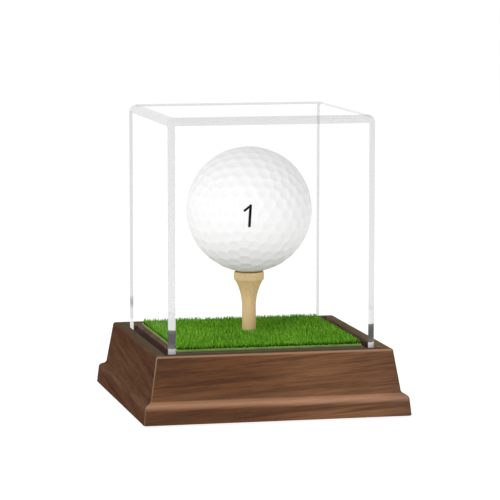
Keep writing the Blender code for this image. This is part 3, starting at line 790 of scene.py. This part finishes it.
def moulding_profile():
    """The moulding's cross-section, (distance from the middle, height), as one closed outline."""
    rim = GROOVE_OUTER_HALF
    top = rim + RIM_WIDTH
    neck = top + RIM_SLOPE
    nose_x, nose_z = neck + NOSE_REACH - NOSE_RADIUS, WOOD_BOTTOM + NOSE_HEIGHT
    cove_x = neck + COVE_RADIUS
    # The hollow and the nose touch, so the line between their centres is as long as both radii.
    rise = math.sqrt((NOSE_RADIUS + COVE_RADIUS) ** 2 - (cove_x - nose_x) ** 2)
    meet = math.degrees(math.atan2(rise, cove_x - nose_x))
    ledge_half = PLATFORM_HALF - LEDGE_WIDTH
    inner = PLATFORM_HALF + WOOD_GAP
    ledge_top = PLATFORM_LOW.z - WOOD_GAP
    rebate = BASE_HALF - FOOT_WIDTH
    groove_floor = RIM_TOP - GROOVE_DEPTH
    inside = [
        (rim, groove_floor),
        (inner, groove_floor),
        (inner, ledge_top),
        (ledge_half, ledge_top),
        (ledge_half, PANEL_TOP),
        (rebate, PANEL_TOP),
        (rebate, WOOD_BOTTOM),
    ]
    return np.vstack(
        [
            arc((BASE_HALF - FOOT_ROUND, WOOD_BOTTOM + FOOT_ROUND), FOOT_ROUND, -90, 0, 4),
            arc((nose_x, nose_z), NOSE_RADIUS, 0, meet, 14),
            arc((cove_x, nose_z + rise), COVE_RADIUS, meet + 180, 180, 14)[1:],
            arc((top - RIM_ROUND, RIM_TOP - RIM_ROUND), RIM_ROUND, 0, 90, 8),
            arc((rim + GROOVE_ROUND, RIM_TOP - GROOVE_ROUND), GROOVE_ROUND, 90, 180, 5),
            inside,
        ]
    )


def inset(outline, distance):
    """The closed outline drawn in by a distance, each point along the mean of its two sides' normals."""
    before, after = outline - np.roll(outline, 1, axis=0), np.roll(outline, -1, axis=0) - outline
    before /= np.linalg.norm(before, axis=1, keepdims=True)
    after /= np.linalg.norm(after, axis=1, keepdims=True)
    normal = np.column_stack([-(before + after)[:, 1], (before + after)[:, 0]])
    normal /= np.linalg.norm(normal, axis=1, keepdims=True)
    return outline + distance * normal


def moulding(index, name):
    """One mitred moulding: the outline carried between the two mitre planes, where y is as far out as x.
    Close to each plane the outline draws in, so that the mitre shows as a fine eased joint."""
    full = moulding_profile()
    rings = []
    for outline, short in ((inset(full, MITRE_EASE), MITRE_GAP), (full, MITRE_GAP + MITRE_EASE_LENGTH)):
        rings.append(np.column_stack([outline[:, 0], short - outline[:, 0], outline[:, 1]]))
    # The far end mirrors the near one.
    rings += [ring * (1, -1, 1) for ring in reversed(rings)]
    angle = index * RIGHT_ANGLE
    cos, sin = math.cos(angle), math.sin(angle)
    turn = np.array([[cos, sin, 0], [-sin, cos, 0], [0, 0, 1]])
    piece = skinned("walnut_" + name, [ring @ turn for ring in rings], walnut_material(index))
    # The eased edges lie within a short reach of the mitre planes.
    local = spots(piece.data) @ turn.T
    near_mitre = np.abs(local[:, 0] - np.abs(local[:, 1])) < EASED_WITHIN
    set_attribute(piece.data, "eased", "POINT", near_mitre)
    place(smooth(piece), "base", "walnut", "moulding_" + name)


def turf_backing():
    """The mat that the blades stand on: a flat square slab with its top and bottom edges rounded."""
    reach = TURF_HIGH.x - BACKING_ROUND
    low, high = PLATFORM_HIGH.z + MAT_REST + BACKING_ROUND, TURF_LOW.z + BACKING_TOP - BACKING_ROUND
    upper = arc((reach, high), BACKING_ROUND, 90, 0, 5)
    lower = arc((reach, low), BACKING_ROUND, 0, -90, 5)
    rings = [at_height(SQUARE * half, height) for half, height in (*upper, *lower)]
    place(smooth(skinned("turf_mat", rings, backing_material())), "base", "turf", "turf")


def turf_roots(rng, half, across):
    """Roots scattered one to a cell of a square grid, clear of the tee."""
    pitch = 2 * half / across
    row, column = np.meshgrid(np.arange(across), np.arange(across), indexing="ij")
    root = np.column_stack([row.ravel(), column.ravel()]) + 0.5
    root = -half + pitch * (root + rng.uniform(-0.5, 0.5, root.shape))
    return root[np.hypot(root[:, 0], root[:, 1]) > TEE_STEM_RADIUS + COLLAR_GAPS[0]]


def turf_blades():
    """Thousands of blades, each a three-sided spike that bends once: a root ring, a middle ring and a tip.

    A dense short growth fills the mat, and tall blades stand apart above it. A fringe of tall ones follows
    the mat's edge, and a collar of them the tee. The way a blade leans is a slow wave over the mat plus a
    scatter of its own, so that blades lie in swathes. A blade's shade comes of a wave over tufts, of its
    height and of a scatter.
    """
    rng = np.random.default_rng(TURF_SEED)
    half = TURF_HIGH.x - BLADE_INSET
    short = turf_roots(rng, half, SHORT_BLADES_ACROSS)
    tall = turf_roots(rng, half, TALL_BLADES_ACROSS)
    along_edge = rng.uniform(-half, half, (FRINGE_BLADES, 1))
    beside = half - rng.uniform(0, FRINGE_DEPTH, (FRINGE_BLADES, 1))
    side = np.arange(FRINGE_BLADES)[:, None] % 4
    fringe = np.where(side % 2 == 0, np.hstack([along_edge, beside]), np.hstack([beside, along_edge]))
    fringe *= np.where(side == 2, (1, -1), np.where(side == 3, (-1, 1), (1, 1)))
    turn = 2 * math.pi * (np.arange(COLLAR_BLADES) + rng.uniform(-0.4, 0.4, COLLAR_BLADES)) / COLLAR_BLADES
    clear = TEE_STEM_RADIUS + rng.uniform(*COLLAR_GAPS, COLLAR_BLADES)
    collar = clear[:, None] * around(turn)
    root = np.vstack([short, tall, fringe, collar])
    x, y = root.T
    count = len(root)
    is_tall = np.arange(count) >= len(short)
    heading = 1.3 * np.sin(x / (6.1 * MM)) + 1.7 * np.cos(y / (7.3 * MM)) + rng.normal(0.0, 1.1, count)
    low, high = np.where(is_tall[:, None], TALL_HEIGHTS, SHORT_HEIGHTS).T
    height = low + (high - low) * rng.beta(1.6, 1.0, count)
    lean = BLADE_LEAN * rng.uniform(*LEAN_SHARES, count) * height / BLADE_TALLEST
    # The collar's blades are nearly the tallest and lean away from the tee.
    heading[-COLLAR_BLADES:] = turn
    height[-COLLAR_BLADES:] = BLADE_TALLEST * rng.uniform(*COLLAR_HEIGHT_SHARES, COLLAR_BLADES)
    lean[-COLLAR_BLADES:] *= COLLAR_LEAN
    away = around(heading)
    # A blade at the edge leans inwards, so that none hangs over the mat's side.
    outside = np.abs(root + away * lean[:, None]) > half
    away = np.where(outside, -away, away)
    flat = around(rng.uniform(0, 2 * math.pi, count))
    back = np.column_stack([-flat[:, 1], flat[:, 0]])
    width = BLADE_WIDTH * rng.uniform(*WIDTH_SHARES, count)
    ground = TURF_LOW.z + BACKING_TOP - BLADE_SINK

    def ring(share, narrow):
        """Three points around the blade's line at a share of its height."""
        middle = root + away * (lean * share**BLADE_CURVE)[:, None]
        level = ground + (height + BLADE_SINK) * share
        corners = []
        for across, deep in ((-0.5, 0.0), (0.5, 0.0), (0.0, 1.0)):
            spot = middle + flat * (width * across * narrow)[:, None]
            corners.append(np.column_stack([spot + back * (BLADE_THICKNESS * deep * narrow), level]))
        return corners

    tip = np.column_stack([root + away * lean[:, None], ground + height + BLADE_SINK])
    points = np.stack([*ring(0.0, 1.0), *ring(BLADE_BEND, BLADE_BEND_WIDTH), tip], axis=1).reshape(-1, 3)
    foot = [(0, 2, 1), (0, 1, 4), (0, 4, 3), (1, 2, 5), (1, 5, 4), (2, 0, 3), (2, 3, 5)]
    pattern = np.array(foot + [(3, 4, 6), (4, 5, 6), (5, 3, 6)])
    faces = (pattern[None] + 7 * np.arange(count)[:, None, None]).reshape(-1, 3)
    mesh = bpy.data.meshes.new("turf_blades")
    mesh.from_pydata(points.tolist(), [], faces.tolist())
    tuft = np.sin(x / (0.21 * MM) + 2.2 * np.sin(y / (2.3 * MM)) + 3 * np.sin(x / (4 * MM)))
    shade = TUFT_SHADE * tuft + HEIGHT_SHADE * height / BLADE_TALLEST + OWN_SHADE * rng.beta(1.1, 1.5, count)
    # Painted shade: the blades along the mat's edge are darker.
    shade[len(short) + len(tall):][:FRINGE_BLADES] *= FRINGE_PAINTED_SHADE
    set_attribute(mesh, "shade", "POINT", np.repeat(np.clip(shade, 0, 1), 7))
    set_attribute(mesh, "along", "POINT", np.tile([0, 0, 0, BLADE_BEND, BLADE_BEND, BLADE_BEND, 1], count))
    mesh.materials.append(blade_material())
    place(add_object("turf_blades", mesh), "base", "turf")


def tee_outline():
    """The tee from the middle of its cup, over the rim, down the flared neck and stem to its point."""
    dish = (TEE_CUP_RADIUS**2 + TEE_CUP_DEPTH**2) / (2 * TEE_CUP_DEPTH)
    opening = math.degrees(math.asin(TEE_CUP_RADIUS / dish))
    cup = arc((0, dish - TEE_CUP_DEPTH), dish, -90, opening - 90, 16)
    cup[0, 0] = 0
    rim = arc((TEE_HEAD_RADIUS - TEE_EDGE, -TEE_EDGE), TEE_EDGE, 90, 0, 5)
    small = TEE_EDGE / 2
    band_foot = arc((TEE_HEAD_RADIUS - small, small - TEE_HEAD_BAND), small, 0, -90, 4)
    share = np.linspace(0, 1, 40)
    neck = TEE_HEAD_RADIUS - TEE_HEAD_STEP
    flare = TEE_STEM_RADIUS + (neck - TEE_STEM_RADIUS) * (1 - share) ** TEE_FLARE_POWER
    flare = np.column_stack([flare, -TEE_HEAD_BAND - share * TEE_FLARE_LENGTH])
    length = TEE_HIGH.z - TEE_LOW.z
    point = [(TEE_STEM_RADIUS, TEE_POINT_LENGTH - length), (TEE_POINT_RADIUS, -length), (0, -length)]
    return np.vstack([cup, rim, band_foot, flare, point])


TEE_HEAD_PAINTED_SHADE = (0.86, 0.86, 0.86)
TEE_STEM_PAINTED_LIGHT = (1.05, 1.02, 1.05)
TEE_TONE_HEIGHTS = (34.0 * MM, 40.5 * MM)
TEE_RINGS = (40.0 * MM, 39.1 * MM)
TEE_RING_REACHES = (0.22 * MM, 0.05 * MM)
TEE_RING_SHARE = 0.12


def tee_rings_and_painted_light(material):
    """Lathe marks: fine dark rings go round the neck under the head. The head is painted darker, as shade,
    and the stem paler, as light.
    """
    tree, shader, colour = reopened(material)
    height = tree.apart(tree.coordinates())[2]
    # Painted light: the head is darker as shade and the stem paler as lit.
    tone = tree.blend(tree.spread(height, *TEE_TONE_HEIGHTS), TEE_STEM_PAINTED_LIGHT, TEE_HEAD_PAINTED_SHADE)
    colour = tree.blend(1.0, colour, tone, "MULTIPLY")
    for level in TEE_RINGS:
        apart = tree.math("ABSOLUTE", tree.minus(height, level))
        ring = tree.spread(apart, *TEE_RING_REACHES, 0.0, TEE_RING_SHARE)
        colour = tree.blend(ring, colour, BEECH_TONES[2])
    tree.fill(shader, {"Base Color": colour})
    return material


def tee():
    """The tee's outline turned about Z."""
    circle = around(np.linspace(0, 2 * math.pi, TEE_STEPS, endpoint=False))
    rings = [at_height(radius * circle, TEE_HIGH.z + height) for radius, height in tee_outline()]
    faces = grid_quads(len(rings), TEE_STEPS)
    upright, shift = (0.0, RIGHT_ANGLE, 0.0), (0.05, 0.013, 0.003)
    beech = wood_material(
        "tee_beech", BEECH_TONES, upright, shift, (0.0016, 0.3), (0.15, 0.25, 0.22), 0.5, 0.3
    )
    piece = mesh_object("beech_tee", np.vstack(rings), faces, tee_rings_and_painted_light(beech))
    place(smooth(piece, 30, weighted=False), "tee", "beech", "tee")


def icosahedron():
    """Twelve corners on a unit sphere, with two at the poles, and the twenty triangles between them."""
    ring = np.arange(5) * 2 * math.pi / 5
    height, reach = 1 / math.sqrt(5), 2 / math.sqrt(5)
    upper = at_height(reach * around(ring), height)
    lower = at_height(reach * around(ring + math.pi / 5), -height)
    corners = np.vstack([[(0, 0, 1)], upper, lower, [(0, 0, -1)]])
    triangles = []
    for i in range(5):
        j = (i + 1) % 5
        triangles += [(0, 1 + i, 1 + j), (1 + i, 6 + i, 1 + j), (1 + j, 6 + i, 6 + j), (11, 6 + j, 6 + i)]
    return corners, triangles


def geodesic(rows):
    """Each triangle of the icosahedron divided into rows x rows small ones, pushed out to a unit sphere."""
    corners, triangles = icosahedron()
    i, j = np.meshgrid(np.arange(rows + 1), np.arange(rows + 1), indexing="ij")
    kept = i + j <= rows
    number = np.full(i.shape, -1)
    number[kept] = np.arange(kept.sum())
    weights = np.column_stack([rows - i[kept] - j[kept], i[kept], j[kept]]) / rows
    cells = [(a, b) for a in range(rows) for b in range(rows - a)]
    up = [(number[a, b], number[a + 1, b], number[a, b + 1]) for a, b in cells]
    down = [(number[a + 1, b], number[a + 1, b + 1], number[a, b + 1]) for a, b in cells if a + b < rows - 1]
    small = np.array(up + down)
    points = np.vstack([weights @ corners[list(triangle)] for triangle in triangles])
    points /= np.linalg.norm(points, axis=1, keepdims=True)
    faces = np.vstack([small + len(weights) * index for index in range(len(triangles))])
    return points, faces


def ball():
    """A fine sphere whose radius falls off in each dimple by the square of the distance from its middle.

    The dimples' middles are the points of a coarse division of the same icosahedron.
    """
    points, faces = geodesic(BALL_ROWS)
    middles = np.unique(np.round(geodesic(DIMPLE_ROWS)[0], 6), axis=0)
    nearest = np.clip((points @ middles.T).max(axis=1), -1, 1)
    share = BALL_RADIUS * np.arccos(nearest) / DIMPLE_RADIUS
    # The dish meets the land in a short round instead of a crease.
    dish = 1 - share**2
    hollow = (dish + np.sqrt(dish**2 + DIMPLE_EDGE_SHARE**2)) / 2
    hollow = np.where(share > DIMPLE_REACH, 0, hollow)
    radius = BALL_RADIUS - DIMPLE_DEPTH * np.clip(hollow - DIMPLE_TRIM, 0, None)
    middle = (0, 0, BALL_MIDDLE)
    piece = mesh_object("dimpled_ball", points * radius[:, None] + middle, faces, ball_material())
    depth = (BALL_RADIUS - np.linalg.norm(spots(piece.data) - middle, axis=1)) / DIMPLE_DEPTH
    set_attribute(piece.data, "dimple", "POINT", np.clip(depth, 0, 1))
    piece.data.shade_smooth()
    place(piece, "ball", "ball_white", "golf_ball")


def rounded_square(half, radius, steps):
    """Points around a square with rounded corners, all at equal angles in each corner."""
    angle = np.linspace(0, RIGHT_ANGLE, steps + 1)
    turned = [around(angle + quarter * RIGHT_ANGLE) for quarter in range(4)]
    return np.vstack([(half - radius) * corner + radius * turn for corner, turn in zip(SQUARE, turned)])


def cover_rings(half, foot, top, radius, steps):
    """Rounded squares from the foot up, then drawn in along a quarter circle to the flat roof."""
    rings = []
    for reach, height in ((half, foot), *arc((half - radius, top - radius), radius, 0, 90, steps)):
        rings.append(at_height(rounded_square(reach, reach - half + radius, steps), height))
    return rings


def cover():
    """The clear cover: an outer and an inner rounded box, both open below, joined by the flat foot."""
    steps = COVER_CORNER_STEPS
    outer = cover_rings(COVER_HALF, COVER_FOOT, COVER_TOP, COVER_WALL + COVER_INNER_RADIUS, steps)
    inner_half, inner_top = COVER_HALF - COVER_WALL, COVER_TOP - COVER_WALL
    inner = cover_rings(inner_half, COVER_FOOT, inner_top, COVER_INNER_RADIUS, steps)
    piece = skinned("clear_cover", outer[::-1] + inner, acrylic_material())
    piece.data.materials.append(acrylic_edge_material())
    edge, shown = cover_edges(*face_values(piece.data, "center").T, *face_values(piece.data, "normal").T)
    piece.data.polygons.foreach_set("material_index", edge.astype(np.int32))
    set_attribute(piece.data, "shown_from_inside", "FACE", shown)
    place(smooth(piece, 60), "cover", "clear_acrylic", "acrylic_cover")


def cover_edges(x, y, z, to_x, to_y, to_z):
    """Which of the cover's faces, given their centres and directions, are its rounded edges, and which of
    those show their painted grey where they are seen from inside."""
    # The rounded edges are the outer faces that turn away from the walls and the roof.
    wall = COVER_WALL - COVER_INNER_RADIUS
    outer = (np.maximum(np.abs(x), np.abs(y)) > COVER_HALF - wall) | (z > COVER_TOP - wall)
    flat = np.maximum(np.maximum(np.abs(to_x), np.abs(to_y)), np.abs(to_z)) >= FLAT_SHARE
    upright = np.abs(to_z) < TURNED
    edge = outer & ~flat & (z > COVER_FOOT + 0.01 * MM)
    edge &= ~((x < 0) & (y < 0) & upright & (to_x < -FRONT_LEFT_CLEAR))
    standing = np.where(y < 0, True, np.where(x < 0, to_x < -BACK_LEFT_SHOWN, to_y > BACK_RIGHT_SHOWN))
    left, right, front, back = to_x < -TURNED, to_x > TURNED, to_y < -TURNED, to_y > TURNED
    rise = np.where(front | back, FRONT_AND_BACK_SHOWN, SIDES_SHOWN)
    lying = np.where(front, ~right, left) | (to_z > rise)
    # The back's left corner stays clear, and its right one carries the edge up.
    lying = np.where(back & left, False, lying | (back & right & (to_x < CORNER_SHOWN)))
    return edge, np.where(upright, standing, lying)


GROOVE_SIDE_HEIGHTS = (PLATFORM_HIGH.z - 0.8 * MM, PLATFORM_HIGH.z - 1.2 * MM)
FRONT_STRIP = (2.0 * MM - PLATFORM_HALF, 0.6 * MM - PLATFORM_HALF)
FRONT_STRIP_SHARE = 0.85


def groove_shade(material):
    """The platform's sides, which form the groove, are painted darker as shade, and the strip along its
    front edge is darker, in the rim's painted grey.
    """
    tree, shader, colour = reopened(material)
    apart = tree.apart(tree.coordinates())
    colour = tree.blend(tree.spread(apart[2], *GROOVE_SIDE_HEIGHTS), colour, GROOVE_PAINTED_SHADE)
    ahead = tree.spread(apart[1], *FRONT_STRIP, 0.0, FRONT_STRIP_SHARE)
    tree.fill(shader, {"Base Color": tree.blend(ahead, colour, RIM_PAINTED_GREY)})
    return material


def dress_nodes():
    """Finishes for the nodes whose own shape is right."""
    level, upright = (0.0, 0.0, 0.0), (0.0, RIGHT_ANGLE, 0.0)
    platform = wood_material(
        "platform_walnut", PLATFORM_TONES, level, (0.7, 0.05, 0.0), (0.003, 0.3), (0.4, 0.4, 0.4), 0.6, 0.2
    )
    panel = plain_material(
        "stained_board", (0.060, 0.040, 0.028), (0.045, 0.030, 0.021), 0.75, sizes=(0.004, 0.0002)
    )
    key = wood_material(
        "key_beech", BEECH_TONES, upright, (0.2, 0.0, 0.0), (0.0016, 0.35), (0.15, 0.3, 0.2), 0.6, 0.3
    )
    steel = plain_material(
        "zinc_steel", (0.62, 0.61, 0.58), (0.50, 0.49, 0.47), 0.35, 1.0, (0.002, 0.0001), 0.01 * MM
    )
    rubber = plain_material("pad_rubber", (0.022, 0.022, 0.023), (0.035, 0.035, 0.036), 0.8, depth=0.05 * MM)
    finishes = {
        "platform": groove_shade(platform),
        "base_panel": panel,
        "mitre_key": key,
        "panel_screw": steel,
        "pad": rubber,
    }
    for name, node in NODES.items():
        for start, material in finishes.items():
            if name.startswith(start):
                node.data.materials.clear()
                node.data.materials.append(material)


# Surroundings


def show_white(tree):
    """One where the camera, a reflection or a view through clear acrylic sees the surroundings."""
    rays = tree.add("ShaderNodeLightPath").outputs
    straight = tree.larger(rays["Is Camera Ray"], rays["Is Glossy Ray"])
    return tree.larger(straight, rays["Is Transmission Ray"])


def glowing(tree, colour, strength):
    """A matt surface that also gives out a plain white light."""
    matt = tree.add("ShaderNodeBsdfDiffuse", {"Color": colour}).outputs[0]
    glow = tree.add("ShaderNodeEmission", {"Color": (1, 1, 1, 1), "Strength": strength}).outputs[0]
    return tree.add("ShaderNodeAddShader", {0: matt, 1: glow}).outputs[0]


def add_floor():
    """A plain pale floor that shows white, apart from the object's shadow."""
    bpy.ops.mesh.primitive_plane_add(size=FLOOR_SIZE, location=(0, 0, -FLOOR_DROP))
    floor = bpy.context.object
    floor.name = "floor"
    material, tree, shader = new_material("pale_floor")
    tree.tree.nodes.remove(shader)
    lit = glowing(tree, FLOOR_COLOUR, FLOOR_BOUNCE)
    seen = glowing(tree, FLOOR_SHADOW_COLOUR, FLOOR_GLOW)
    show_mix(tree, material, show_white(tree), lit, seen)
    floor.data.materials.append(material)


def add_world():
    """White where it is seen, and a soft even light where it lights the object."""
    world = bpy.data.worlds.new("studio")
    bpy.context.scene.world = world
    world.use_nodes = True
    tree = Tree(world.node_tree)
    strength = tree.between(show_white(tree), WORLD_STRENGTH, 1.0)
    tree.fill(world.node_tree.nodes["Background"], {"Color": (1, 1, 1, 1), "Strength": strength})


def add_lamps():
    """Soft area lamps, each aimed at the middle of the case."""
    middle = Vector((0, 0, (WOOD_BOTTOM + COVER_TOP) / 2))
    for name, azimuth, elevation, distance, size, watts in LAMPS:
        back = direction(azimuth, elevation)
        lamp = bpy.data.lights.new(name, "AREA")
        lamp.size = size
        lamp.energy = watts
        holder = add_object(name, lamp)
        holder.location = middle + back * distance
        holder.rotation_euler = (-back).to_track_quat("-Z", "Y").to_euler()


def add_camera():
    """The photograph's view."""
    back = direction(CAMERA_AZIMUTH, CAMERA_ELEVATION)
    right = Vector((0, 0, 1)).cross(back).normalized()
    up = back.cross(right)
    roll = math.radians(CAMERA_ROLL)
    turned_right = math.cos(roll) * right + math.sin(roll) * up
    turned_up = math.cos(roll) * up - math.sin(roll) * right
    camera = bpy.data.cameras.new("camera")
    camera.lens = CAMERA_LENS
    camera.sensor_width = CAMERA_SENSOR
    camera.clip_start, camera.clip_end = 0.01, 20
    spot = Vector((0, 0, CAMERA_AIM_HEIGHT)) + CAMERA_DISTANCE * back + CAMERA_AIM_RIGHT * turned_right
    holder = add_object("camera", camera)
    turned = Matrix((turned_right, turned_up, back)).transposed().to_4x4()
    holder.matrix_world = Matrix.Translation(spot) @ turned
    bpy.context.scene.camera = holder


add_camera()
add_world()
add_lamps()
add_floor()
dress_nodes()
for index, name in enumerate(("right", "back", "left", "front")):
    moulding(index, name)
turf_backing()
turf_blades()
tee()
ball()
cover()

bpy.context.scene.view_settings.view_transform = "Standard"
